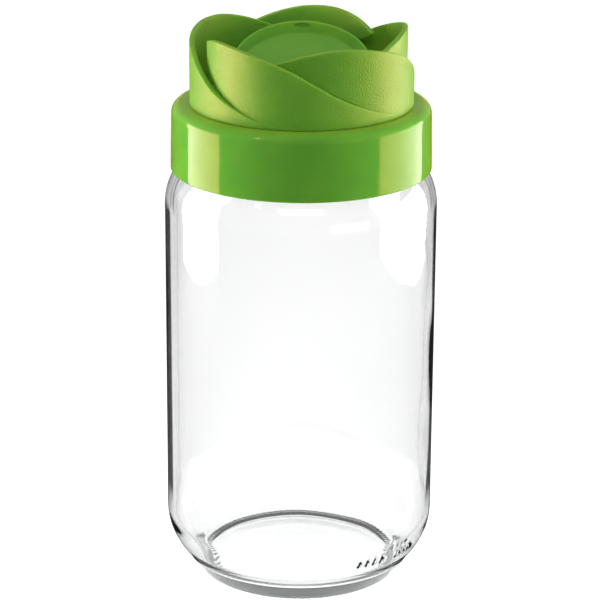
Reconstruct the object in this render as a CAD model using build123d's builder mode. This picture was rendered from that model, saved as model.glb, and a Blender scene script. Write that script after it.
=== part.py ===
"""Clear glass storage jar of about one litre, with a screw lid shaped like a rose.

The jar stands on the plane Z = 0 and Z is its axis. The front, which the slanted bud
of the lid faces, is -Y. Lengths are in millimetres and angles in degrees. A petal
angle is measured about Z from the front, anticlockwise as seen from above.
"""

import os
from math import cos, radians, sin, tan

from build123d import *

# --- glass jar -----------------------------------------------------------------
BODY_R = 50.0  # outside of the straight body
WALL = 3.0
HEEL_Z = 24.0  # where the heel leaves the straight wall
HEEL_IN = 5.2  # how far the middle of the heel lies inside the wall
HEEL_MID_Z = 9.6
BEARING_R = 37.8  # outer edge of the flat ring that the jar stands on
BEARING_WIDTH = 1.4
PUSH_UP = 3.0  # rise of the base inside the bearing ring
PUSH_UP_KNEE_IN = 4.0  # where the push-up levels off, inside the bearing ring
PUSH_UP_KNEE_Z = 1.6
BASE_THICK = 3.6  # glass over the middle of the push-up
FLOOR_FLAT_IN = 2.0  # the floor is nearly level as far as this inside the ring
FLOOR_SAG = 0.2
INNER_HEEL_Z = 23.0  # where the inner face leaves the straight wall
CORNER_IN = 4.5  # the inner corner of the base, measured as the heel is
CORNER_Z = 11.5
SHOULDER_Z = 143.2  # top of the straight wall
SHOULDER_R = 22.0  # radius of the shoulder's arc, in section
SHOULDER_SWEEP = 45.0
NECK_R = 43.0
NECK_WALL = 3.2
NECK_RISE = 1.4  # height of the slope between the shoulder and the neck
THROAT_RISE = 1.2  # the same slope inside reaches this much higher
RIM_Z = 176.6
LIP = 1.4  # bevel of the rim

# --- screw thread, shared by the glass and the lid -----------------------------
PITCH = 6.0
TURNS = 1.25
THREAD_BASE = 3.2  # width at the root
THREAD_CREST = 1.4
THREAD_SINK = 0.4  # depth of the root inside its wall
GLASS_THREAD_Z = 163.4  # middle of the glass thread where it starts
GLASS_CREST_R = 44.7
LID_CREST_R = 43.7

# --- screw collar --------------------------------------------------------------
COLLAR_BOTTOM_Z = 156.7
COLLAR_TOP_Z = 180.8
COLLAR_BOTTOM_R = 47.8
COLLAR_TOP_R = 47.4
COLLAR_BORE_R = 45.8
COLLAR_SHOULDER_R = 3.2
COLLAR_EDGE_R = 0.6
ROOF_UNDER_Z = 178.6
ROOF_TOP_Z = 180.2  # the sunken middle of the roof, under the bud
ROOF_SINK_R = 31.0
RIB_R = 45.0  # bead that keeps the liner in the collar
RIB_Z = 175.9
RIB_HEIGHT = 0.7
GROOVE_IN_R = 35.9
GROOVE_OUT_R = 37.5
GROOVE_DEPTH = 1.2

# --- sealing liner -------------------------------------------------------------
LINER_R = 45.4
LINER_Z = 176.7
LINER_THICK = 1.8

# --- rose crown ----------------------------------------------------------------
CROWN_R = 40.8
FLOOR_THICK = 1.4
FLOOR_HOLE_R = 27.3
FOOT_ROUND = 0.6
TONGUE_IN_R = 36.0
TONGUE_OUT_R = 37.4
TONGUE_DEPTH = 1.1
PETALS = 5
PETAL_WALL = 2.0
PETAL_END = 66.0  # petal angle where a petal sinks into the floor
CURL_START = -8.0  # petal angle where its wall starts to curl inwards
CURL_R = 33.0
CURL_SWEEP = 98.0
PETAL_HEIGHT = 30.0  # blank height, before the edges are cut
CUT_IN_R = 24.0  # the cut between the edges spans the petals' walls
CUT_OUT_R = 52.0
# One petal unrolled: petal angle, height of its lower edge and of its upper edge
# above the collar. After the curl the lower edge is buried in the floor.
PETAL_EDGES = [
    (-89, 20.4, 21.6),
    (-82, 18.8, 23.1),
    (-70, 15.9, 25.6),
    (-55, 11.8, 27.5),
    (-40, 7.0, 27.4),
    (-28, 3.6, 26.0),
    (-17, 0.9, 23.9),
    (-6, 0.3, 21.0),
    (6, 0.3, 16.4),
    (20, 0.3, 10.7),
    (38, 0.3, 5.4),
    (54, 0.3, 2.0),
    (66, 0.3, 0.9),
]

# --- bud cap -------------------------------------------------------------------
BUD_TILT = 22.5  # slope of the rim, towards the front
BUD_MID_Z = 194.8  # height of the rim's plane on the axis
BUD_RIM_R = 25.6  # all the bud's radii are seen from above
BUD_SIDE_R = 26.8
BUD_BEVEL = 2.4  # height of the slope between the rim and the side
BUD_LAND = 0.6
BUD_WALL = 1.6
DISH_R = 23.6
DISH_DEPTH = 3.2
FLANGE_R = 29.0
FLANGE_THICK = 0.5
NOTCH_HALF_WIDTH = 3.1  # rounded notch in the rear wall of the dish
NOTCH_R = 1.0
NOTCH_Y = 24.5
NOTCH_DROP = 1.35  # its middle, below the plane of the rim


def slanted_plane(drop):
    """The plane of the bud's rim, lowered by drop. Its normal leans to the front."""
    normal = (0, -sin(radians(BUD_TILT)), cos(radians(BUD_TILT)))
    return Plane(origin=(0, 0, BUD_MID_Z - drop), x_dir=(1, 0, 0), z_dir=normal)


def radial_plane(petal_angle):
    """The upright plane through the axis at a petal angle, from the collar's top."""
    turn = radians(petal_angle)
    outwards = (sin(turn), -cos(turn), 0)
    return Plane(
        origin=(0, 0, COLLAR_TOP_Z),
        x_dir=outwards,
        z_dir=(-cos(turn), -sin(turn), 0),
    )


def shoulder_point(wall_r, arc_r, sweep):
    """A point on a shoulder arc that starts upright at the top of the wall."""
    turn = radians(sweep)
    return (wall_r - arc_r * (1 - cos(turn)), SHOULDER_Z + arc_r * sin(turn))


os.makedirs("parts", exist_ok=True)

# ===============================================================================
# Glass jar: one revolved wall, with a helical ridge round the neck
# ===============================================================================
inner_r = BODY_R - WALL
inner_arc_r = SHOULDER_R - WALL
mouth_r = NECK_R - NECK_WALL
push_up_r = BEARING_R - BEARING_WIDTH
floor_z = PUSH_UP + BASE_THICK
outer_end = shoulder_point(BODY_R, SHOULDER_R, SHOULDER_SWEEP)
inner_end = shoulder_point(inner_r, inner_arc_r, SHOULDER_SWEEP)
neck_z = outer_end[1] + NECK_RISE

with BuildPart() as glass_jar:
    with BuildSketch(Plane.XZ):
        with BuildLine():
            Line((0, PUSH_UP), (0, floor_z))
            Spline(
                (0, floor_z),
                (push_up_r - FLOOR_FLAT_IN, floor_z - FLOOR_SAG),
                (inner_r - CORNER_IN, CORNER_Z),
                (inner_r, INNER_HEEL_Z),
                tangents=[(1, 0), (0, 1)],
            )
            Line((inner_r, INNER_HEEL_Z), (inner_r, SHOULDER_Z))
            ThreePointArc(
                (inner_r, SHOULDER_Z),
                shoulder_point(inner_r, inner_arc_r, SHOULDER_SWEEP / 2),
                inner_end,
            )
            Polyline(
                inner_end,
                (mouth_r, neck_z + THROAT_RISE),
                (mouth_r, RIM_Z - LIP),
                (mouth_r + LIP / 2, RIM_Z),
                (NECK_R - LIP, RIM_Z),
                (NECK_R, RIM_Z - LIP),
                (NECK_R, neck_z),
                outer_end,
            )
            ThreePointArc(
                outer_end,
                shoulder_point(BODY_R, SHOULDER_R, SHOULDER_SWEEP / 2),
                (BODY_R, SHOULDER_Z),
            )
            Line((BODY_R, SHOULDER_Z), (BODY_R, HEEL_Z))
            Spline(
                (BODY_R, HEEL_Z),
                (BODY_R - HEEL_IN, HEEL_MID_Z),
                (BEARING_R, 0),
                tangents=[(0, -1), (-0.92, -0.4)],
            )
            Line((BEARING_R, 0), (push_up_r, 0))
            Spline(
                (push_up_r, 0),
                (push_up_r - PUSH_UP_KNEE_IN, PUSH_UP_KNEE_Z),
                (0, PUSH_UP),
                tangents=[(-0.9, 0.45), (-1, 0)],
            )
        make_face()
    revolve(axis=Axis.Z)
    with BuildSketch(Plane.XZ):
        with BuildLine():
            Polyline(
                (NECK_R - THREAD_SINK, GLASS_THREAD_Z - THREAD_BASE / 2),
                (GLASS_CREST_R, GLASS_THREAD_Z - THREAD_CREST / 2),
                (GLASS_CREST_R, GLASS_THREAD_Z + THREAD_CREST / 2),
                (NECK_R - THREAD_SINK, GLASS_THREAD_Z + THREAD_BASE / 2),
                close=True,
            )
        make_face()
    with BuildLine():
        Helix(PITCH, PITCH * TURNS, NECK_R, center=(0, 0, GLASS_THREAD_Z))
    sweep(is_frenet=True)

glass_jar.part.label = "glass_jar"
export_step(glass_jar.part, "parts/glass_jar.step")

# ===============================================================================
# Screw collar: glossy skirt and roof, with the matching ridge inside. When closed
# its ridge lies half a pitch below the ridge of the glass.
# ===============================================================================
lid_thread_z = GLASS_THREAD_Z - PITCH / 2

with BuildPart() as screw_collar:
    with BuildSketch(Plane.XZ):
        with BuildLine():
            shoulder_z = COLLAR_TOP_Z - COLLAR_SHOULDER_R
            shoulder_in_r = COLLAR_TOP_R - COLLAR_SHOULDER_R
            groove_z = COLLAR_TOP_Z - GROOVE_DEPTH
            Polyline(
                (0, ROOF_UNDER_Z),
                (COLLAR_BORE_R, ROOF_UNDER_Z),
                (COLLAR_BORE_R, RIB_Z + RIB_HEIGHT),
                (RIB_R, RIB_Z + RIB_HEIGHT),
                (COLLAR_BORE_R, RIB_Z),
                (COLLAR_BORE_R, COLLAR_BOTTOM_Z),
                (COLLAR_BOTTOM_R - COLLAR_EDGE_R, COLLAR_BOTTOM_Z),
            )
            RadiusArc(
                (COLLAR_BOTTOM_R - COLLAR_EDGE_R, COLLAR_BOTTOM_Z),
                (COLLAR_BOTTOM_R, COLLAR_BOTTOM_Z + COLLAR_EDGE_R),
                -COLLAR_EDGE_R,
            )
            Line(
                (COLLAR_BOTTOM_R, COLLAR_BOTTOM_Z + COLLAR_EDGE_R),
                (COLLAR_TOP_R, shoulder_z),
            )
            RadiusArc(
                (COLLAR_TOP_R, shoulder_z),
                (shoulder_in_r, COLLAR_TOP_Z),
                -COLLAR_SHOULDER_R,
            )
            Polyline(
                (shoulder_in_r, COLLAR_TOP_Z),
                (GROOVE_OUT_R, COLLAR_TOP_Z),
                (GROOVE_OUT_R, groove_z),
                (GROOVE_IN_R, groove_z),
                (GROOVE_IN_R, COLLAR_TOP_Z),
                (ROOF_SINK_R, COLLAR_TOP_Z),
                (ROOF_SINK_R, ROOF_TOP_Z),
                (0, ROOF_TOP_Z),
                (0, ROOF_UNDER_Z),
            )
        make_face()
    revolve(axis=Axis.Z)
    with BuildSketch(Plane.XZ):
        with BuildLine():
            Polyline(
                (COLLAR_BORE_R + THREAD_SINK, lid_thread_z - THREAD_BASE / 2),
                (LID_CREST_R, lid_thread_z - THREAD_CREST / 2),
                (LID_CREST_R, lid_thread_z + THREAD_CREST / 2),
                (COLLAR_BORE_R + THREAD_SINK, lid_thread_z + THREAD_BASE / 2),
                close=True,
            )
        make_face()
    with BuildLine():
        Helix(PITCH, PITCH * TURNS, COLLAR_BORE_R, center=(0, 0, lid_thread_z))
    sweep(is_frenet=True)

screw_collar.part.label = "screw_collar"
export_step(screw_collar.part, "parts/screw_collar.step")

# ===============================================================================
# Sealing liner: the disc that the roof presses on the rim of the glass
# ===============================================================================
with BuildPart() as sealing_liner:
    with BuildSketch(Plane.XY.offset(LINER_Z)):
        Circle(LINER_R)
    extrude(amount=LINER_THICK)

sealing_liner.part.label = "sealing_liner"
export_step(sealing_liner.part, "parts/sealing_liner.step")

# ===============================================================================
# Rose crown: a flat floor with five petals, each curling in behind the one before
# ===============================================================================
curl_turn = radians(CURL_START)
curl_shift = CROWN_R - CURL_R
curl_centre = (curl_shift * sin(curl_turn), -curl_shift * cos(curl_turn))
wall_sweep = PETAL_END - CURL_START

with BuildPart() as petal:
    with BuildSketch(Plane.XY.offset(COLLAR_TOP_Z)):
        with BuildLine():
            outer_wall = CenterArc((0, 0), CROWN_R, CURL_START - 90, wall_sweep)
            outer_curl = CenterArc(
                curl_centre, CURL_R, CURL_START - 90 - CURL_SWEEP, CURL_SWEEP
            )
            inner_wall = CenterArc(
                (0, 0), CROWN_R - PETAL_WALL, CURL_START - 90, wall_sweep
            )
            inner_curl = CenterArc(
                curl_centre,
                CURL_R - PETAL_WALL,
                CURL_START - 90 - CURL_SWEEP,
                CURL_SWEEP,
            )
            Line(outer_wall @ 1, inner_wall @ 1)
            Line(outer_curl @ 0, inner_curl @ 0)
        make_face()
    extrude(amount=PETAL_HEIGHT)
    for petal_angle, low, high in PETAL_EDGES:
        with BuildSketch(radial_plane(petal_angle)):
            with BuildLine():
                Polyline(
                    (CUT_IN_R, low),
                    (CUT_OUT_R, low),
                    (CUT_OUT_R, high),
                    (CUT_IN_R, high),
                    close=True,
                )
            make_face()
    loft(mode=Mode.INTERSECT)

with BuildPart() as rose_crown:
    with BuildSketch(Plane.XZ):
        with BuildLine():
            Polyline(
                (FLOOR_HOLE_R, COLLAR_TOP_Z),
                (TONGUE_IN_R, COLLAR_TOP_Z),
                (TONGUE_IN_R, COLLAR_TOP_Z - TONGUE_DEPTH),
                (TONGUE_OUT_R, COLLAR_TOP_Z - TONGUE_DEPTH),
                (TONGUE_OUT_R, COLLAR_TOP_Z),
                (CROWN_R - FOOT_ROUND, COLLAR_TOP_Z),
                (CROWN_R, COLLAR_TOP_Z + FOOT_ROUND),
                (CROWN_R, COLLAR_TOP_Z + FLOOR_THICK),
                (FLOOR_HOLE_R, COLLAR_TOP_Z + FLOOR_THICK),
                close=True,
            )
        make_face()
    revolve(axis=Axis.Z)
    with PolarLocations(0, PETALS):
        add(petal.part)

rose_crown.part.label = "rose_crown"
export_step(rose_crown.part, "parts/rose_crown.step")

# ===============================================================================
# Bud cap: a hollow plug with a slanted, dished top and a notch at the rear
# ===============================================================================
tilt = radians(BUD_TILT)
notch_z = BUD_MID_Z + NOTCH_Y * tan(tilt) - NOTCH_DROP

with BuildPart() as hollow:
    with BuildSketch(Plane.XY.offset(ROOF_TOP_Z)):
        Circle(BUD_SIDE_R - BUD_WALL)
    extrude(amount=PETAL_HEIGHT)
    split(bisect_by=slanted_plane(DISH_DEPTH + BUD_WALL), keep=Keep.BOTTOM)

with BuildPart() as bud_cap:
    with BuildSketch(Plane.XY.offset(ROOF_TOP_Z)):
        Circle(BUD_SIDE_R)
    extrude(amount=PETAL_HEIGHT)
    split(bisect_by=slanted_plane(BUD_BEVEL), keep=Keep.BOTTOM)
    with BuildSketch(slanted_plane(BUD_BEVEL)):
        Ellipse(BUD_SIDE_R, BUD_SIDE_R / cos(tilt))
    with BuildSketch(slanted_plane(0)):
        Ellipse(BUD_RIM_R, BUD_RIM_R / cos(tilt))
    loft()
    with BuildSketch(slanted_plane(0)):
        Ellipse(BUD_RIM_R - BUD_LAND, (BUD_RIM_R - BUD_LAND) / cos(tilt))
    with BuildSketch(slanted_plane(DISH_DEPTH)):
        Ellipse(DISH_R, DISH_R / cos(tilt))
    loft(mode=Mode.SUBTRACT)
    with BuildSketch(Plane.XY.offset(ROOF_TOP_Z)):
        Circle(FLANGE_R)
    extrude(amount=FLANGE_THICK)
    add(hollow.part, mode=Mode.SUBTRACT)
    with BuildSketch(Plane.XY.offset(notch_z)):
        with BuildLine():
            EllipticalCenterArc(
                (0, NOTCH_Y), NOTCH_HALF_WIDTH, NOTCH_R, start_angle=0, arc_size=180
            )
            Line((-NOTCH_HALF_WIDTH, NOTCH_Y), (NOTCH_HALF_WIDTH, NOTCH_Y))
        make_face()
    notch_axis = Axis((0, NOTCH_Y, notch_z), (1, 0, 0))
    revolve(axis=notch_axis, mode=Mode.SUBTRACT)

bud_cap.part.label = "bud_cap"
export_step(bud_cap.part, "parts/bud_cap.step")
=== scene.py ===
"""Looks of the glass storage jar with the rose lid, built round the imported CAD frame.

Shapes are worked out in millimetres and turned into metres as their meshes are made.
An angle is measured about Z, from +X towards +Y, except a petal angle, which is
measured from the front (-Y) towards +X.
"""

from math import ceil, cos, degrees, exp, pi, radians, sin, sqrt, tan, tau

import bpy
from mathutils import Matrix, Vector


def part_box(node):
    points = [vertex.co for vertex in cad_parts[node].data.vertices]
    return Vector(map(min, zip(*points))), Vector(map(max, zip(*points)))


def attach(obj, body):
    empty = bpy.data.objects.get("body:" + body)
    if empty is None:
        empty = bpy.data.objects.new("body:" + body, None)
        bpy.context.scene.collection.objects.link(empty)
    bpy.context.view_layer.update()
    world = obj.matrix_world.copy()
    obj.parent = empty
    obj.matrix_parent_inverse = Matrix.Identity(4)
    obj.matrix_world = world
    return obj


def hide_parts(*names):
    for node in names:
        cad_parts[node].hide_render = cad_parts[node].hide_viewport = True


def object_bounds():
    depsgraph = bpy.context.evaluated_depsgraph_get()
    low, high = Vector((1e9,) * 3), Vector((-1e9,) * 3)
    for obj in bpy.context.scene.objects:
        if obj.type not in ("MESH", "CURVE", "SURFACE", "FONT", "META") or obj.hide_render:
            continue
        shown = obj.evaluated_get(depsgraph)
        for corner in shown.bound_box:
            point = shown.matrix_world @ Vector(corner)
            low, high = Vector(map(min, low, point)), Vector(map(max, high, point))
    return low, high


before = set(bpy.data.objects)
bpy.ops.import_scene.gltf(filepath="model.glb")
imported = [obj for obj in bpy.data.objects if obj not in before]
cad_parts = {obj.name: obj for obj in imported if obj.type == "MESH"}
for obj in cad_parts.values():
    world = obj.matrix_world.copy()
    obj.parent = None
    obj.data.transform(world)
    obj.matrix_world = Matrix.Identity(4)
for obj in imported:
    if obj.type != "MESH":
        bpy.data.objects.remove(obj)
cad_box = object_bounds()

MM = 0.001


def size_of(node):
    """Lowest and highest corner of a CAD node, in millimetres."""
    low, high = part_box(node)
    return low / MM, high / MM


glass_high = size_of("glass_jar")[1]
collar_low, collar_high = size_of("screw_collar")
bud_low = size_of("bud_cap")[0]
liner_low, liner_high = size_of("sealing_liner")

# --- glass jar -----------------------------------------------------------------
BODY_R = glass_high.x
RIM_Z = glass_high.z
WALL = 3.0
HEEL_Z = 24.0  # where the heel leaves the straight wall
HEEL_IN = 5.2  # how far the middle of the heel lies inside the wall
HEEL_MID_Z = 9.6
HEEL_FOOT_Z = 0.35  # where the heel turns into the rounded edge of the bearing ring
BEARING_R = 37.8  # outer edge of the ring that the jar stands on
BEARING_WIDTH = 1.4
BEARING_EDGE = 0.5  # radius of both of its edges
PUSH_UP = 3.0  # rise of the base inside the bearing ring
PUSH_UP_FOOT_Z = 0.3
PUSH_UP_KNEE_IN = 4.0  # where the push-up levels off, inside the bearing ring
PUSH_UP_KNEE_Z = 1.6
BASE_THICK = 3.6  # glass over the middle of the push-up
FLOOR_FLAT_IN = 2.0  # the floor is nearly level as far as this inside the ring
FLOOR_SAG = 0.2
INNER_HEEL_Z = 23.0  # where the inner face leaves the straight wall
CORNER_IN = 4.5  # the inner corner of the base, measured as the heel is
CORNER_Z = 11.5
SHOULDER_Z = 143.2  # top of the straight wall
SHOULDER_R = 22.0  # radius of the shoulder's arc, in section
SHOULDER_SWEEP = 45.0
NECK_R = 43.0
NECK_WALL = 3.2
NECK_RISE = 1.4  # height of the slope between the shoulder and the neck
THROAT_RISE = 1.2  # the same slope inside reaches this much higher
THREAD_FROM_Z = 160.5  # the outside of the neck carries the thread above this height
KNURL_RIDGES = 96
KNURL_DEPTH = 0.4
KNURL_IN = 1.6  # half width of the knurled band, and its middle inside the bearing ring
KNURL_TOP_Z = 3.0
DOT_ANGLES = [118, 114, 110, 106, 98, 90, 87.5, 85, 82.5, 74, 72]
DOT_ANGLES += [-62, -58, -54, -50, -40, -37, -34, -31]
DOT_Z = 16.5
DOT_R = 48.0  # radius of the heel at the dots
DOT_HEIGHT = 0.7
DOT_SPREAD = 0.8
DOT_REACH = 4.0  # degrees to either side
WAVE_BOTTOM_Z = 9.0  # the uneven stretch of the inner wall, and how far it fades at each end
WAVE_TOP_Z = 157.2
WAVE_FADE_LOW = 25.0
WAVE_FADE_HIGH = 30.0
WAVE_SIDE = 0.25  # the angle, in radians, at which the wall is most uneven
WAVE_LEAST = 0.12  # share of the unevenness that is left on the other side
WAVES = [  # depth, waves round the jar, twist per mm of height, phase
    (0.20, 3, 0.021, 0.6),
    (0.16, 5, -0.055, 2.1),
    (0.12, 2, 0.094, 4.0),
    (0.06, 11, 0.13, 0.0),
]

# --- screw thread, shared by the glass and the lid -----------------------------
PITCH = 6.0
TURNS = 1.25
THREAD_BASE = 3.2  # width at the root
THREAD_CREST = 1.4
THREAD_TAPER = 0.06  # share of a turn over which each end runs out
GLASS_THREAD_Z = 163.4  # middle of the glass thread where it starts
GLASS_THREAD_HEIGHT = 1.7
LID_THREAD_HEIGHT = 2.1

# --- lid -----------------------------------------------------------------------
COLLAR_BOTTOM_R = collar_high.x
COLLAR_BOTTOM_Z = collar_low.z
COLLAR_TOP_Z = collar_high.z
COLLAR_TOP_R = COLLAR_BOTTOM_R - 0.4
COLLAR_BORE_R = 45.8
COLLAR_SHOULDER_R = 3.2
COLLAR_EDGE_R = 0.6
COLLAR_BEAD_R = 0.55  # bead round the top of the bore that keeps the liner in
COLLAR_BEAD_Z = 176.25
COLLAR_FILLET = 0.8  # between the bore and the roof
COLLAR_LEAD_R = 0.5  # rounded inner edge at the foot of the skirt
COLLAR_FOOT = 3.0  # height of the upright stretch of the skirt's outer face
ROOF_UNDER_Z = liner_high.z + 0.1
ROOF_TOP_Z = bud_low.z  # the sunken middle of the roof, under the bud
ROOF_SINK_R = 31.0
GROOVE_OUTER_R = 37.5  # groove in the roof for the crown's tongue
GROOVE_INNER_R = 35.9
GROOVE_DEPTH = 1.2
GROOVE_CHAMFER = 0.3
TONGUE_GAP = 0.1
CROWN_R = 40.8
CROWN_BORE_R = 27.3
CROWN_FLOOR = 1.4
CROWN_LIFT = 0.05  # between the roof and the crown's floor
CROWN_EDGE_R = 0.6
CROWN_RIM_R = 0.3
PETALS = 5
PETAL_WALL = 2.0
PETAL_EDGE_R = 0.38
PETAL_STEP = 1.25  # degrees between sections
PETAL_TIP = 1.4  # degrees over which the tip closes
TIP_WALL = 0.35  # share of the wall that is left at the very tip
CURL_START = -8.0
CURL_R = 33.0
PETAL_EDGES = [  # petal angle, and heights of the lower and upper edge
    (-89, 20.4, 21.6),
    (-82, 18.8, 23.1),
    (-70, 15.9, 25.6),
    (-55, 11.8, 27.5),
    (-40, 7.0, 27.4),
    (-28, 3.6, 26.0),
    (-17, 0.9, 23.9),
    (-6, 0.3, 21.0),
    (6, 0.3, 16.4),
    (20, 0.3, 10.7),
    (38, 0.3, 5.4),
    (54, 0.3, 2.0),
    (66, 0.3, 0.9),
]
BUD_TILT = 22.5
BUD_MID_Z = 194.8
BUD_SIDE_R = 26.8
BUD_RIM_R = 25.6
BUD_BAND = 3.4  # height of the rounded band below the slanted rim
BUD_FOOT = 0.9
FLANGE_R = 29.0
DISH_R = 23.6
DISH_DEPTH = 3.2
NOTCH_SIZE = (3.1, 0.9, 1.0)  # half axes of the notch in the rear wall of the dish
NOTCH_Y = 24.5
NOTCH_DROP = 1.35

# --- colours -------------------------------------------------------------------
DEEP = (0.13, 0.42, 0.045)  # the two greens that the plastic drifts between
LIME = (0.155, 0.46, 0.05)
SHEEN_TINT = (1.0, 0.75, 0.0, 1)
GLINT_TINT = (1.0, 0.40, 0.05, 1)
FINISHES = {  # least and greatest roughness, grain scale, grain depth, index, sheen
    "gloss_green": ((0.05, 0.10), 900, 0.00001, 1.42, 0.45),
    "matte_green": ((0.38, 0.54), 1700, 0.00022, 1.85, 0.20),
    "satin_green": ((0.30, 0.38), 2600, 0.00003, 1.45, 0.10),
}
GLASS_DEPTH_COLOUR = (0.72, 0.735, 0.728, 1)
GLASS_DENSITY = 80.0

# Painted shade on the glass: how much light a face lets through, against how edgeways it is seen.
# The dark bands stand in for dark surroundings seen through the edges.
WALL_PAINTED_SHADE = [(0, 1), (0.728, 0.96), (0.748, 0.012), (1, 0.008)]
SHOULDER_PAINTED_SHADE = [(0, 1), (0.62, 0.9), (0.64, 0.03), (0.66, 0.5)]
SHOULDER_PAINTED_SHADE += [(0.68, 0.9), (0.70, 0.04), (0.72, 0.8), (1, 0.7)]
INNER_PAINTED_SHADE = [(0, 1), (0.75, 0.8), (0.785, 0.35), (0.81, 0.85)]
INNER_PAINTED_SHADE += [(0.93, 0.8), (0.975, 0.3), (1, 0.3)]
HEEL_PAINTED_SHADE = [(0, 1), (0.79, 0.9), (0.805, 0.3), (0.82, 0.9)]
HEEL_PAINTED_SHADE += [(0.87, 0.85), (0.895, 0.04), (1, 0.04)]

# Where those painted shades hold, in metres.
SHOULDER_SHADE_Z = (0.1432, 0.1475)
HEEL_SHADE_Z = (0.036, 0.026)
OUTER_FROM_R = 0.0485  # a face further out than this is an outer one, beside the straight wall
SHOULDER_STEP_IN = -0.006
HEEL_STEP_IN = -0.0075
UNEVEN_TO_X = 0.04  # the painted shade drifts on this side of the jar only

# --- camera, floor and light, in metres ----------------------------------------
CAMERA_DISTANCE = 1.0
CAMERA_ELEVATION = 18.83
CAMERA_ROLL = 0.376
CAMERA_LENS = 161.0
AIM_RISE = 0.0006
SHIFT_X = -0.0005
FLOOR_HALF = 4.0
FLOOR_DROP = 0.0004
FLOOR_GLOW = 0.90
FLOOR_LEND = 0.20
FLOOR_MIRRORED = 0.03
GLINT_REACH = 0.014  # a reflection of something nearer than this is seen at full brightness
WORLD_HORIZON = 0.28
WORLD_TOP = 0.36


# ===============================================================================
# Mesh helpers
# ===============================================================================
def make_object(name, vertices, faces, sharp_angle=35.0):
    """An object from millimetre points, smooth apart from its sharp edges."""
    mesh = bpy.data.meshes.new(name)
    mesh.from_pydata([tuple(c * MM for c in v) for v in vertices], [], faces)
    mesh.validate()
    mesh.shade_smooth()
    mesh.set_sharp_from_angle(angle=radians(sharp_angle))
    piece = bpy.data.objects.new(name, mesh)
    bpy.context.scene.collection.objects.link(piece)
    return piece


def lathe(name, profile, segments, place=None, closed=False, sharp_angle=35.0):
    """Turn (radius, height) points about Z. place(radius, height, angle) may move each."""
    place = place or (lambda r, z, angle: (r, z))
    vertices, rows = [], []
    for r, z in profile:
        if r < 1e-6:
            rows.append([len(vertices)])
            vertices.append((0, 0, place(0, z, 0)[1]))
            continue
        rows.append(list(range(len(vertices), len(vertices) + segments)))
        for i in range(segments):
            angle = tau * i / segments
            radius, height = place(r, z, angle)
            vertices.append((radius * cos(angle), radius * sin(angle), height))
    faces = []
    pairs = list(zip(rows, rows[1:])) + ([(rows[-1], rows[0])] if closed else [])
    for low, high in pairs:
        for i in range(segments):
            j = (i + 1) % segments
            if len(low) == 1:
                faces.append((low[0], high[j], high[i]))
            elif len(high) == 1:
                faces.append((low[i], low[j], high[0]))
            else:
                faces.append((low[i], low[j], high[j], high[i]))
    return make_object(name, vertices, faces, sharp_angle)


def run(start, end, count):
    """Points from start towards end, the end left out."""
    return [
        (start[0] + (end[0] - start[0]) * i / count, start[1] + (end[1] - start[1]) * i / count)
        for i in range(count)
    ]


def arc(centre, radius, start, end, count):
    """Points on an arc, both ends included. Angles in degrees from the +r axis."""
    return [
        (
            centre[0] + radius * cos(radians(start + (end - start) * i / count)),
            centre[1] + radius * sin(radians(start + (end - start) * i / count)),
        )
        for i in range(count + 1)
    ]


def hermite(points, count):
    """A smooth curve through points with given tangents: [(point, tangent), ...]."""
    curve = []
    for (p, m), (q, n) in zip(points, points[1:]):
        for i in range(count):
            t = i / count
            a, b = 2 * t**3 - 3 * t**2 + 1, t**3 - 2 * t**2 + t
            c, d = 3 * t**2 - 2 * t**3, t**3 - t**2
            curve.append(tuple(a * p[k] + b * m[k] + c * q[k] + d * n[k] for k in (0, 1)))
    return curve


def smooth_step(x):
    x = min(1.0, max(0.0, x))
    return x * x * (3 - 2 * x)


def eased(table, x, column):
    """A smooth value from a table of rows (x, value, ...), by Catmull-Rom slopes."""
    rows = len(table)
    k = max(0, min(rows - 2, sum(1 for row in table if row[0] <= x) - 1))
    x0, x1 = table[k][0], table[k + 1][0]
    y0, y1 = table[k][column], table[k + 1][column]

    def slope(i):
        low, high = max(0, i - 1), min(rows - 1, i + 1)
        return (table[high][column] - table[low][column]) / (table[high][0] - table[low][0])

    t = (x - x0) / (x1 - x0)
    return (
        (2 * t**3 - 3 * t**2 + 1) * y0
        + (t**3 - 2 * t**2 + t) * slope(k) * (x1 - x0)
        + (3 * t**2 - 2 * t**3) * y1
        + (t**3 - t**2) * slope(k + 1) * (x1 - x0)
    )


def thread_height(z, angle, start_z, height):
    """Height of the helical ridge above its wall at a height and angle."""
    best = 0.0
    for turn in range(ceil(TURNS) + 1):
        along = angle / tau + turn
        if along > TURNS:
            continue
        off = abs(z - start_z - PITCH * along)
        flank = (THREAD_BASE / 2 - off) / ((THREAD_BASE - THREAD_CREST) / 2)
        run_out = min(along, TURNS - along) / THREAD_TAPER
        best = max(best, height * smooth_step(flank) * smooth_step(run_out))
    return best


def boolean(piece, cutter, operation):
    """Apply a boolean with another object, which is then removed."""
    step = piece.modifiers.new("cut", "BOOLEAN")
    step.operation = operation
    step.solver = "EXACT"
    step.object = cutter
    bpy.context.view_layer.update()
    graph = bpy.context.evaluated_depsgraph_get()
    mesh = bpy.data.meshes.new_from_object(piece.evaluated_get(graph))
    piece.modifiers.clear()
    piece.data = mesh
    bpy.data.objects.remove(cutter)
    return piece


# ===============================================================================
# Glass jar
# ===============================================================================
inner_r = BODY_R - WALL
mouth_r = NECK_R - NECK_WALL
floor_z = PUSH_UP + BASE_THICK
push_up_r = BEARING_R - BEARING_WIDTH


def shoulder_arc(wall_r, arc_r, count):
    """The shoulder from the straight wall up to the neck."""
    return arc((wall_r - arc_r, SHOULDER_Z), arc_r, 0, SHOULDER_SWEEP, count)


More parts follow.
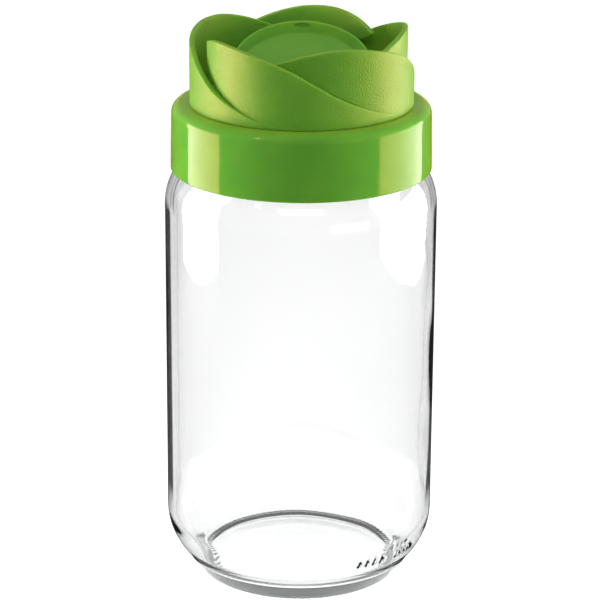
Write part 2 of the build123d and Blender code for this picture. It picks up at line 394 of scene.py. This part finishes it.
def glass_profile():
    """Half section of the glass, from the middle of its floor round to the push-up."""
    inner_top = shoulder_arc(inner_r, SHOULDER_R - WALL, 16)
    outer_top = shoulder_arc(BODY_R, SHOULDER_R, 20)
    neck_z = outer_top[-1][1] + NECK_RISE
    throat_z = neck_z + THROAT_RISE
    lip = NECK_WALL / 2
    inside = [
        ((0, floor_z), (30, 0)),
        ((push_up_r - FLOOR_FLAT_IN, floor_z - FLOOR_SAG), (14, 0.2)),
        ((inner_r - CORNER_IN, CORNER_Z), (4, 4.8)),
        ((inner_r, INNER_HEEL_Z), (0, 11)),
    ]
    heel = [
        ((BODY_R, HEEL_Z), (0, -17)),
        ((BODY_R - HEEL_IN, HEEL_MID_Z), (-8.6, -10.6)),
        ((BEARING_R, HEEL_FOOT_Z), (-5.2, -1.6)),
    ]
    push_up = [
        ((push_up_r, PUSH_UP_FOOT_Z), (-5, 1.7)),
        ((push_up_r - PUSH_UP_KNEE_IN, PUSH_UP_KNEE_Z), (-9, 1.4)),
        ((0, PUSH_UP), (-22, 0)),
    ]
    outline = hermite(inside, 12)
    outline += run((inner_r, INNER_HEEL_Z), (inner_r, SHOULDER_Z), 44)
    outline += inner_top[:-1]
    outline += run(inner_top[-1], (mouth_r, throat_z), 3)
    outline += run((mouth_r, throat_z), (mouth_r, RIM_Z - lip), 12)
    outline += arc((mouth_r + lip, RIM_Z - lip), lip, 180, 0, 14)
    outline += run((NECK_R, RIM_Z - lip), (NECK_R, neck_z), 52)[1:]
    outline += run((NECK_R, neck_z), outer_top[-1], 3)
    outline += outer_top[::-1][:-1]
    outline += run((BODY_R, SHOULDER_Z), (BODY_R, HEEL_Z), 44)
    outline += hermite(heel, 22)
    outline += arc((BEARING_R - BEARING_EDGE, BEARING_EDGE), BEARING_EDGE, -60, -90, 3)
    outline += arc((push_up_r + BEARING_EDGE, BEARING_EDGE), BEARING_EDGE, -90, -140, 4)
    outline += hermite(push_up, 12)
    outline.append((0, PUSH_UP))
    return outline[::-1]


def mould_dots(z, angle):
    """Small raised dots round the heel, as a mould leaves them."""
    rise = 0.0
    for place in DOT_ANGLES:
        along = (degrees(angle) - place + 180) % 360 - 180
        if abs(along) < DOT_REACH:
            across = radians(along) * DOT_R / DOT_SPREAD
            rise += DOT_HEIGHT * exp(-(across**2) - ((z - DOT_Z) / DOT_SPREAD) ** 2)
    return rise


def wall_waves(z, angle):
    """The uneven thickness of blown glass."""
    level = smooth_step((z - WAVE_BOTTOM_Z) / WAVE_FADE_LOW)
    level *= smooth_step((WAVE_TOP_Z - z) / WAVE_FADE_HIGH)
    side = (0.5 + 0.5 * cos(angle - WAVE_SIDE)) ** 2
    level *= WAVE_LEAST + (1 - WAVE_LEAST) * side
    return level * sum(
        depth * sin(count * angle + twist * z + phase) for depth, count, twist, phase in WAVES
    )


def glass_place(r, z, angle):
    """The thread, the wavy inner wall, the knurled bearing ring and the mould dots."""
    if r > NECK_R - 0.01 and z > THREAD_FROM_Z:
        r += thread_height(z, angle, GLASS_THREAD_Z, GLASS_THREAD_HEIGHT)
    elif 10 < r < inner_r + 0.01 and WAVE_BOTTOM_Z < z < WAVE_TOP_Z:
        r += wall_waves(z, angle)
    if z < KNURL_TOP_Z:
        band = smooth_step(1.3 - abs(r - BEARING_R + KNURL_IN) / KNURL_IN)
        z += KNURL_DEPTH * band * (0.5 + 0.5 * cos(KNURL_RIDGES * angle))
    if z < INNER_HEEL_Z - 1 and r > BODY_R - 6:
        r += mould_dots(z, angle)
    return r, z


def build_glass():
    return lathe("glass_shell", glass_profile(), 576, glass_place, sharp_angle=60)


# ===============================================================================
# Lid
# ===============================================================================
def collar_profile():
    """Half section of the collar, from under its roof round to the top of the roof."""
    bore_top = COLLAR_BEAD_Z - COLLAR_BEAD_R
    groove_z = COLLAR_TOP_Z - GROOVE_DEPTH
    fillet_r = COLLAR_BORE_R - COLLAR_FILLET
    lead_z = COLLAR_BOTTOM_Z + COLLAR_LEAD_R
    shoulder_z = COLLAR_TOP_Z - COLLAR_SHOULDER_R
    outline = [(0, ROOF_UNDER_Z)]
    outline += run((20, ROOF_UNDER_Z), (fillet_r, ROOF_UNDER_Z), 3)
    outline += arc((fillet_r, ROOF_UNDER_Z - COLLAR_FILLET), COLLAR_FILLET, 90, 0, 5)
    outline += arc((COLLAR_BORE_R, COLLAR_BEAD_Z), COLLAR_BEAD_R, 90, 270, 8)
    outline += run((COLLAR_BORE_R, bore_top - 0.8), (COLLAR_BORE_R, lead_z), 58)
    outline += arc((COLLAR_BORE_R + COLLAR_LEAD_R, lead_z), COLLAR_LEAD_R, 180, 270, 4)
    outline += arc(
        (COLLAR_BOTTOM_R - COLLAR_EDGE_R, COLLAR_BOTTOM_Z + COLLAR_EDGE_R),
        COLLAR_EDGE_R,
        -90,
        0,
        8,
    )
    outline += run(
        (COLLAR_BOTTOM_R - 0.02, COLLAR_BOTTOM_Z + COLLAR_FOOT),
        (COLLAR_TOP_R, shoulder_z),
        4,
    )
    outline += arc(
        (COLLAR_TOP_R - COLLAR_SHOULDER_R, shoulder_z), COLLAR_SHOULDER_R, 0, 90, 18
    )
    outline += [
        (GROOVE_OUTER_R + GROOVE_CHAMFER, COLLAR_TOP_Z),
        (GROOVE_OUTER_R, COLLAR_TOP_Z - GROOVE_CHAMFER),
        (GROOVE_OUTER_R, groove_z),
        (GROOVE_INNER_R, groove_z),
        (GROOVE_INNER_R, COLLAR_TOP_Z - GROOVE_CHAMFER),
        (GROOVE_INNER_R - GROOVE_CHAMFER, COLLAR_TOP_Z),
        (ROOF_SINK_R + 0.2, COLLAR_TOP_Z),
        (ROOF_SINK_R, COLLAR_TOP_Z - 0.2),
        (ROOF_SINK_R, ROOF_TOP_Z),
        (0, ROOF_TOP_Z),
    ]
    return outline


def collar_place(r, z, angle):
    """The ridge inside the skirt. When closed it lies half a pitch below the glass's."""
    if abs(r - COLLAR_BORE_R) < 0.01 and z < COLLAR_BEAD_Z - 1:
        r -= thread_height(z, angle, GLASS_THREAD_Z - PITCH / 2, LID_THREAD_HEIGHT)
    return r, z


def build_collar():
    return lathe("collar_shell", collar_profile(), 384, collar_place, sharp_angle=40)


def petal_radii(petal_angle):
    """Distance of a petal's outer and inner face from the axis."""
    if petal_angle >= CURL_START:
        return CROWN_R, CROWN_R - PETAL_WALL
    shift = CROWN_R - CURL_R
    lean = radians(petal_angle - CURL_START)
    along, across = shift * cos(lean), shift * sin(lean)
    return tuple(along + sqrt(r * r - across * across) for r in (CURL_R, CURL_R - PETAL_WALL))


def rounded_section(inner, outer, low, high, edge):
    """Closed outline in a radial plane, as (radius, height), with rounded corners."""
    edge = min(edge, (high - low) / 2.001, (outer - inner) / 2.001)
    outline = []
    for r, z, start in (
        (outer - edge, high - edge, 0),
        (inner + edge, high - edge, 90),
        (inner + edge, low + edge, 180),
        (outer - edge, low + edge, 270),
    ):
        outline += arc((r, z), edge, start, start + 90, 5)
    sides = []
    for k, point in enumerate(outline):
        sides.append(point)
        following = outline[(k + 1) % len(outline)]
        if (k + 1) % 12 == 0:  # the two tall sides get points between their corners
            sides += run(point, following, 7)[1:]
    return sides


def build_petal(turn):
    """One petal: a wall whose section changes along its length."""
    start, end = PETAL_EDGES[0][0], PETAL_EDGES[-1][0]
    stations = [start + 0.02 * 1.6**k for k in range(9)]
    while stations[-1] + PETAL_STEP < end:
        stations.append(stations[-1] + PETAL_STEP)
    vertices, rows = [], []
    for petal_angle in stations:
        outer, inner = petal_radii(petal_angle)
        low = eased(PETAL_EDGES, petal_angle, 1)
        high = eased(PETAL_EDGES, petal_angle, 2)
        tip = min(1.0, (petal_angle - start) / PETAL_TIP)
        close = sqrt(max(0.0, 1 - (1 - tip) ** 2))
        middle = (low + high) / 2
        half = (high - low) / 2 * close
        centre = (outer + inner) / 2
        half_wall = (outer - inner) / 2 * (TIP_WALL + (1 - TIP_WALL) * close)
        section = rounded_section(
            centre - half_wall,
            centre + half_wall,
            COLLAR_TOP_Z + middle - half,
            COLLAR_TOP_Z + middle + half,
            PETAL_EDGE_R,
        )
        angle = radians(petal_angle + turn - 90)
        rows.append(range(len(vertices), len(vertices) + len(section)))
        vertices += [(r * cos(angle), r * sin(angle), z) for r, z in section]
    count = len(rows[0])
    faces = [tuple(rows[0])[::-1], tuple(rows[-1])]
    for low_row, high_row in zip(rows, rows[1:]):
        for i in range(count):
            j = (i + 1) % count
            faces.append((low_row[i], low_row[j], high_row[j], high_row[i]))
    return make_object("petal", vertices, faces)


def build_crown():
    """The floor ring with its weld tongue, and the petals joined to it."""
    floor_low = COLLAR_TOP_Z + CROWN_LIFT
    rim_z = COLLAR_TOP_Z + CROWN_FLOOR - CROWN_RIM_R
    tongue_z = COLLAR_TOP_Z - GROOVE_DEPTH + TONGUE_GAP
    tongue_inner_r = GROOVE_INNER_R + TONGUE_GAP
    tongue_outer_r = GROOVE_OUTER_R - TONGUE_GAP
    profile = [(CROWN_BORE_R, floor_low), (tongue_inner_r, floor_low), (tongue_inner_r, tongue_z)]
    profile += [(tongue_outer_r, tongue_z), (tongue_outer_r, floor_low)]
    profile += arc((CROWN_R - CROWN_EDGE_R, COLLAR_TOP_Z + CROWN_EDGE_R), CROWN_EDGE_R, -90, 0, 6)
    profile += [(CROWN_R, COLLAR_TOP_Z + 1.0)]
    profile += arc((CROWN_R - CROWN_RIM_R, rim_z), CROWN_RIM_R, 0, 90, 3)
    profile += arc((CROWN_BORE_R + CROWN_RIM_R, rim_z), CROWN_RIM_R, 90, 180, 3)
    piece = lathe("rose_petals", profile, 288, closed=True)
    for k in range(PETALS):
        boolean(piece, build_petal(360 / PETALS * k), "UNION")
    piece.data.shade_smooth()
    piece.data.set_sharp_from_angle(angle=radians(32))
    return piece


def bud_profile():
    """Rows (radius, drop, slanted) from the dish outwards.

    A slanted row lies its drop below the slanted plane. The others are on the upright
    side, and their drop is the share of its height.
    """
    points = [(0, DISH_DEPTH, 1)]
    points += [(r, DISH_DEPTH, 1) for r in (4, 8, 12, 16, 19, 21.5)]
    points += [(r, drop, 1) for r, drop in arc((DISH_R - 0.7, DISH_DEPTH - 0.7), 0.7, 90, 20, 5)]
    points += [(24.05, 1.6, 1)]
    points += [(r, -drop, 1) for r, drop in arc((24.98, -0.32), 0.32, 160, 90, 4)]
    points += [(r, -drop, 1) for r, drop in arc((BUD_RIM_R - 0.35, -0.35), 0.35, 90, 27, 4)]
    points += [(BUD_SIDE_R - 0.12, 2.2, 1), (BUD_SIDE_R, 2.6, 1), (BUD_SIDE_R, BUD_BAND, 1)]
    points += [(BUD_SIDE_R, share, 0) for share in (0.75, 0.5, 0.25)]
    return points


def build_bud():
    """A plug with a slanted, dished top, a flange under the crown and a slot at the rear."""
    slope = tan(radians(BUD_TILT))
    segments = 360
    top = bud_profile()
    vertices, rows = [(0, 0, BUD_MID_Z - DISH_DEPTH)], [[0]]
    wall_foot = ROOF_TOP_Z + BUD_FOOT
    for r, drop, slanted in top[1:]:
        rows.append(list(range(len(vertices), len(vertices) + segments)))
        for i in range(segments):
            x, y = r * cos(tau * i / segments), r * sin(tau * i / segments)
            edge = BUD_MID_Z + y * slope
            if slanted:
                z = edge - drop
            else:
                z = wall_foot + (edge - BUD_BAND - wall_foot) * drop
            vertices.append((x, y, z))
    flange = [(BUD_SIDE_R, BUD_FOOT), (BUD_SIDE_R + 0.4, 0.5), (FLANGE_R - 0.2, 0.5)]
    flange += [(FLANGE_R, 0.3), (FLANGE_R, 0.1), (FLANGE_R - 0.1, 0.0)]
    for r, rise in flange:
        rows.append(list(range(len(vertices), len(vertices) + segments)))
        vertices += [
            (r * cos(tau * i / segments), r * sin(tau * i / segments), ROOF_TOP_Z + rise)
            for i in range(segments)
        ]
    rows.append([len(vertices)])
    vertices.append((0, 0, ROOF_TOP_Z))
    faces = []
    for low, high in zip(rows, rows[1:]):
        for i in range(segments):
            j = (i + 1) % segments
            if len(low) == 1:
                faces.append((low[0], high[i], high[j]))
            elif len(high) == 1:
                faces.append((low[j], low[i], high[0]))
            else:
                faces.append((low[j], low[i], high[i], high[j]))
    piece = make_object("bud_plug", vertices, faces)
    ball = [(0, -1)] + arc((0, 0), 1, -85, 85, 34) + [(0, 1)]
    cutter = lathe("notch", ball, 96, sharp_angle=80)
    place = Vector((0, NOTCH_Y, BUD_MID_Z + NOTCH_Y * slope - NOTCH_DROP)) * MM
    cutter.data.transform(Matrix.Translation(place) @ Matrix.Diagonal((*NOTCH_SIZE, 1)))
    boolean(piece, cutter, "DIFFERENCE")
    piece.data.shade_smooth()
    piece.data.set_sharp_from_angle(angle=radians(38))
    return piece


def build_liner():
    """The pressed sealing disc, with a shallow ring where the rim bites."""
    low, high, r = liner_low.z, liner_high.z, liner_high.x
    profile = (
        [(0, low)]
        + [(37.2, low), (38.0, low + 0.25), (43.6, low + 0.25), (44.2, low)]
        + arc((r - 0.4, low + 0.4), 0.4, -90, 0, 4)
        + arc((r - 0.4, high - 0.4), 0.4, 0, 90, 4)
        + [(38.0, high), (37.6, high - 0.2), (30.0, high - 0.2), (29.6, high), (0, high)]
    )
    return lathe("liner_disc", profile, 192)


# ===============================================================================
# Materials
# ===============================================================================
def new_material(name):
    material = bpy.data.materials.new(name)
    material.use_nodes = True
    nodes, links = material.node_tree.nodes, material.node_tree.links
    nodes.clear()
    out = nodes.new("ShaderNodeOutputMaterial")
    shader = nodes.new("ShaderNodeBsdfPrincipled")
    links.new(shader.outputs[0], out.inputs["Surface"])
    return material, nodes, links, shader


def noise(nodes, links, scale, detail=2.0, stretch=(1, 1, 1)):
    """Noise fixed to the piece, in its own coordinates."""
    place = nodes.new("ShaderNodeTexCoord")
    mapping = nodes.new("ShaderNodeMapping")
    mapping.inputs["Scale"].default_value = stretch
    texture = nodes.new("ShaderNodeTexNoise")
    texture.inputs["Scale"].default_value = scale
    texture.inputs["Detail"].default_value = detail
    links.new(place.outputs["Object"], mapping.inputs["Vector"])
    links.new(mapping.outputs[0], texture.inputs["Vector"])
    return texture.outputs["Fac"]


def ramp(nodes, links, source, stops):
    """A colour ramp from (position, colour) stops."""
    node = nodes.new("ShaderNodeValToRGB")
    elements = node.color_ramp.elements
    while len(elements) < len(stops):
        elements.new(0.5)
    for element, (position, colour) in zip(elements, stops):
        element.position = position
        element.color = (*colour, 1)
    links.new(source, node.inputs[0])
    return node.outputs[0]


def grey_ramp(nodes, links, source, stops):
    """The same from (position, level) stops."""
    return ramp(nodes, links, source, [(position, (level,) * 3) for position, level in stops])


def bump(nodes, links, height, strength, distance):
    node = nodes.new("ShaderNodeBump")
    node.inputs["Strength"].default_value = strength
    node.inputs["Distance"].default_value = distance
    links.new(height, node.inputs["Height"])
    return node.outputs[0]


def green_plastic(name):
    """Dyed, slightly translucent plastic in one of the finishes."""
    roughness, grain_scale, grain_depth, index, sheen = FINISHES[name]
    material, nodes, links, shader = new_material(name)
    cloud = noise(nodes, links, 90, 3)
    links.new(ramp(nodes, links, cloud, [(0.3, DEEP), (0.7, LIME)]), shader.inputs["Base Color"])
    grain = noise(nodes, links, grain_scale, 3)
    rough = grey_ramp(nodes, links, grain, [(0.3, roughness[0]), (0.7, roughness[1])])
    links.new(rough, shader.inputs["Roughness"])
    links.new(bump(nodes, links, grain, 1.0, grain_depth), shader.inputs["Normal"])
    shader.inputs["IOR"].default_value = index
    shader.inputs["Specular Tint"].default_value = GLINT_TINT
    shader.inputs["Sheen Weight"].default_value = sheen
    shader.inputs["Sheen Roughness"].default_value = 0.35
    shader.inputs["Sheen Tint"].default_value = SHEEN_TINT
    shader.inputs["Subsurface Weight"].default_value = 0.55
    shader.inputs["Subsurface Radius"].default_value = (1.0, 0.62, 0.12)
    shader.inputs["Subsurface Scale"].default_value = 0.006
    return material


def maths(nodes, links, operation, *values):
    """A maths node. Each value is a number or an output to link."""
    node = nodes.new("ShaderNodeMath")
    node.operation = operation
    for socket, value in zip(node.inputs, values):
        if isinstance(value, (int, float)):
            socket.default_value = value
        else:
            links.new(value, socket)
    return node.outputs[0]


def fade(nodes, links, value, start, end):
    """0 at start and 1 at end, smooth between them."""
    node = nodes.new("ShaderNodeMapRange")
    node.interpolation_type = "SMOOTHSTEP"
    node.inputs["From Min"].default_value = start
    node.inputs["From Max"].default_value = end
    links.new(value, node.inputs["Value"])
    return node.outputs[0]


def mixed(nodes, links, share, low, high=None):
    """One colour turning into another. high may be left out, for white."""
    node = nodes.new("ShaderNodeMix")
    node.data_type = "RGBA"
    links.new(share, node.inputs["Factor"])
    links.new(low, node.inputs["A"])
    if high:
        links.new(high, node.inputs["B"])
    else:
        node.inputs["B"].default_value = (1, 1, 1, 1)
    return node.outputs["Result"]


def output_of(nodes):
    return next(node for node in nodes if node.type == "OUTPUT_MATERIAL")


def painted_edge_shade(nodes, links):
    """Painted shade: the glass's colour darkens where it is looked through edgeways, more so in
    its outer wall, with extra bands at the shoulder and heel and wavering on the +X side; it
    stands in for dark surroundings seen through the edges.
    """
    weight = nodes.new("ShaderNodeLayerWeight")
    weight.inputs["Blend"].default_value = 0.5
    facing = weight.outputs["Facing"]
    place = nodes.new("ShaderNodeTexCoord")
    split = nodes.new("ShaderNodeSeparateXYZ")
    links.new(place.outputs["Object"], split.inputs[0])
    x, y, height = (split.outputs[axis] for axis in "XYZ")
    across = maths(nodes, links, "MULTIPLY", x, x)
    deep = maths(nodes, links, "MULTIPLY", y, y)
    radius = maths(nodes, links, "SQRT", maths(nodes, links, "ADD", across, deep))
    drift = noise(nodes, links, 30, 1, (1, 1, 0.5))
    uneven = fade(nodes, links, x, 0.0, UNEVEN_TO_X)
    sway = maths(nodes, links, "MULTIPLY_ADD", drift, 0.22, -0.16)
    shifted = maths(nodes, links, "MULTIPLY_ADD", sway, uneven, facing)
    # painted shade levels, by how edgeways each face is seen
    wall = grey_ramp(nodes, links, shifted, WALL_PAINTED_SHADE)
    shoulder = grey_ramp(nodes, links, shifted, SHOULDER_PAINTED_SHADE)
    inner = grey_ramp(nodes, links, facing, INNER_PAINTED_SHADE)
    heel = grey_ramp(nodes, links, facing, HEEL_PAINTED_SHADE)
    upper = fade(nodes, links, height, *SHOULDER_SHADE_Z)
    lower = fade(nodes, links, height, *HEEL_SHADE_Z)
    outer = mixed(nodes, links, lower, mixed(nodes, links, upper, wall, shoulder), heel)
    inner = mixed(nodes, links, lower, inner)
    limit = maths(nodes, links, "MULTIPLY_ADD", upper, SHOULDER_STEP_IN, OUTER_FROM_R)
    limit = maths(nodes, links, "MULTIPLY_ADD", lower, HEEL_STEP_IN, limit)
    is_outer = maths(nodes, links, "GREATER_THAN", radius, limit)
    return mixed(nodes, links, is_outer, inner, outer)


def clear_glass():
    """Glass with a faint orange peel and painted shade where it is seen edgeways, greyer where it
    is thick.
    """
    material, nodes, links, shader = new_material("clear_glass")
    shader.inputs["Transmission Weight"].default_value = 1.0
    shader.inputs["IOR"].default_value = 1.5
    # painted shade: the edgeways darkening goes into the glass's colour
    links.new(painted_edge_shade(nodes, links), shader.inputs["Base Color"])
    speckle = noise(nodes, links, 260, 1, (1, 1, 0.4))
    links.new(bump(nodes, links, speckle, 0.1, 0.00004), shader.inputs["Normal"])
    rough = grey_ramp(nodes, links, speckle, [(0.2, 0.0), (0.9, 0.02)])
    links.new(rough, shader.inputs["Roughness"])
    depth = nodes.new("ShaderNodeVolumeAbsorption")
    depth.inputs["Color"].default_value = GLASS_DEPTH_COLOUR
    depth.inputs["Density"].default_value = GLASS_DENSITY
    links.new(depth.outputs[0], output_of(nodes).inputs["Volume"])
    return material


def white_liner():
    material, nodes, links, shader = new_material("liner_white")
    cloud = noise(nodes, links, 300, 4)
    links.new(
        ramp(nodes, links, cloud, [(0.3, (0.80, 0.80, 0.77)), (0.7, (0.88, 0.88, 0.86))]),
        shader.inputs["Base Color"],
    )
    links.new(bump(nodes, links, cloud, 0.3, 0.0001), shader.inputs["Normal"])
    shader.inputs["Roughness"].default_value = 0.45
    shader.inputs["Subsurface Weight"].default_value = 0.2
    shader.inputs["Subsurface Scale"].default_value = 0.002
    return material


# ===============================================================================
# Pieces
# ===============================================================================
def place_piece(piece, material, body, node):
    piece.data.materials.clear()
    piece.data.materials.append(material)
    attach(piece, body)
    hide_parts(node)
    return piece


glass = place_piece(build_glass(), clear_glass(), "jar", "glass_jar")
glass.visible_shadow = False
place_piece(build_liner(), white_liner(), "liner", "sealing_liner")
for build, node, slot in (
    (build_collar, "screw_collar", "gloss_green"),
    (build_crown, "rose_crown", "matte_green"),
    (build_bud, "bud_cap", "satin_green"),
):
    place_piece(build(), green_plastic(slot), "lid", node)


# ===============================================================================
# Camera, floor and light
# ===============================================================================
def aimed(thing, position, target, roll=0.0):
    """Place a camera or light and turn its -Z axis to the target."""
    look = Vector(target) - Vector(position)
    thing.rotation_mode = "QUATERNION"
    turn = look.to_track_quat("-Z", "Y")
    thing.rotation_quaternion = turn @ Matrix.Rotation(radians(roll), 4, "Z").to_quaternion()
    thing.location = position
    return thing


def add_camera():
    """In front of the object, raised, and rolled a little as the photographer's was."""
    elevation = radians(CAMERA_ELEVATION)
    low, high = cad_box
    target = Vector((0, 0, (low.z + high.z) / 2 + AIM_RISE))
    data = bpy.data.cameras.new("camera")
    data.lens = CAMERA_LENS
    data.sensor_width = 36.0
    data.clip_start = 0.01
    data.clip_end = 100
    data.shift_x = SHIFT_X
    camera = bpy.data.objects.new("camera", data)
    bpy.context.scene.collection.objects.link(camera)
    position = target + CAMERA_DISTANCE * Vector((0, -cos(elevation), sin(elevation)))
    aimed(camera, position, target, CAMERA_ROLL)
    bpy.context.scene.camera = camera


def add_panel(name, azimuth, distance, width, height, base, radiance):
    """A softbox that faces the axis, azimuth degrees from the front towards +X.

    base is the height of its lower edge.
    """
    data = bpy.data.lights.new(name, "AREA")
    data.shape = "RECTANGLE"
    data.size, data.size_y = width, height
    data.energy = radiance * pi * width * height
    light = bpy.data.objects.new(name, data)
    bpy.context.scene.collection.objects.link(light)
    turn = radians(azimuth)
    position = Vector((sin(turn) * distance, -cos(turn) * distance, base + height / 2))
    aimed(light, position, (0, 0, min(position.z, COLLAR_TOP_Z * MM)))
    light.visible_camera = False
    return light


def add_top_light(width, height, radiance):
    """A square softbox high over the object, aimed at its foot."""
    data = bpy.data.lights.new("top_softbox", "AREA")
    data.shape = "RECTANGLE"
    data.size, data.size_y = width, width
    data.energy = radiance * pi * width * width
    light = bpy.data.objects.new("top_softbox", data)
    bpy.context.scene.collection.objects.link(light)
    aimed(light, Vector((0, 0.1, height)), Vector((0, 0, 0)))
    light.visible_camera = False


def seen_directly(nodes, links):
    """1 for what the camera sees, and 0 for the light that it lends; then the glossy rays.

    Seen counts what is seen straight, through glass, or as a glint of something near.
    """
    path = nodes.new("ShaderNodeLightPath")
    camera = path.outputs["Is Camera Ray"]
    glossy = path.outputs["Is Glossy Ray"]
    either = maths(nodes, links, "MAXIMUM", camera, path.outputs["Is Transmission Ray"])
    near = maths(nodes, links, "LESS_THAN", path.outputs["Ray Length"], GLINT_REACH)
    near_glint = maths(nodes, links, "MULTIPLY", near, glossy)
    return maths(nodes, links, "MAXIMUM", either, near_glint), glossy


def add_floor():
    """A light table: bright to look at, but lending the object little light."""
    half = FLOOR_HALF
    mesh = bpy.data.meshes.new("floor")
    corners = [(-half, -half, 0), (half, -half, 0), (half, half, 0), (-half, half, 0)]
    mesh.from_pydata(corners, [], [(0, 1, 2, 3)])
    piece = bpy.data.objects.new("floor", mesh)
    bpy.context.scene.collection.objects.link(piece)
    piece.location.z = -FLOOR_DROP
    material, nodes, links, shader = new_material("pale_floor")
    shader.inputs["Base Color"].default_value = (0.35, 0.35, 0.35, 1)
    shader.inputs["Roughness"].default_value = 0.9
    shader.inputs["Specular IOR Level"].default_value = 0.0
    shader.inputs["Emission Color"].default_value = (1, 1, 1, 1)
    shader.inputs["Emission Strength"].default_value = FLOOR_GLOW
    lending = nodes.new("ShaderNodeBsdfDiffuse")
    seen, glossy = seen_directly(nodes, links)
    shade = grey_ramp(nodes, links, glossy, [(0.0, FLOOR_LEND), (1.0, FLOOR_MIRRORED)])
    links.new(shade, lending.inputs["Color"])
    choose = nodes.new("ShaderNodeMixShader")
    links.new(seen, choose.inputs[0])
    links.new(lending.outputs[0], choose.inputs[1])
    links.new(shader.outputs[0], choose.inputs[2])
    links.new(choose.outputs[0], output_of(nodes).inputs["Surface"])
    mesh.materials.append(material)


def add_world():
    """A white studio to look at, which lends a soft grey light."""
    world = bpy.data.worlds.new("studio")
    bpy.context.scene.world = world
    world.use_nodes = True
    nodes, links = world.node_tree.nodes, world.node_tree.links
    nodes.clear()
    place = nodes.new("ShaderNodeTexCoord")
    split = nodes.new("ShaderNodeSeparateXYZ")
    links.new(place.outputs["Generated"], split.inputs[0])
    stops = [(0.0, WORLD_HORIZON), (0.3, WORLD_HORIZON), (1.0, WORLD_TOP)]
    lent = grey_ramp(nodes, links, split.outputs["Z"], stops)
    seen = seen_directly(nodes, links)[0]
    background = nodes.new("ShaderNodeBackground")
    out = nodes.new("ShaderNodeOutputWorld")
    links.new(mixed(nodes, links, seen, lent), background.inputs["Color"])
    links.new(background.outputs[0], out.inputs["Surface"])


add_camera()
add_floor()
add_world()
add_panel("left_softbox", -92.0, 0.40, 0.29, 0.27, 0.0, 8.6)
add_panel("right_softbox", 97.5, 0.40, 0.44, 0.27, 0.0, 6.0)
add_top_light(0.5, 0.8, 0.7)
fill = add_panel("front_fill", 0.0, 0.60, 0.50, 0.30, 0.55, 3.5)
fill.visible_glossy = False  # it lights the matte faces without a reflection
add_panel("front_window", 41.0, 0.85, 0.50, 0.26, 0.06, 1.0)
lamp = add_panel("front_lamp", -45.0, 0.80, 0.08, 0.30, 0.83, 25.0)
lamp.visible_diffuse = False  # it is there for its reflection only
bpy.context.scene.view_settings.view_transform = "Standard"
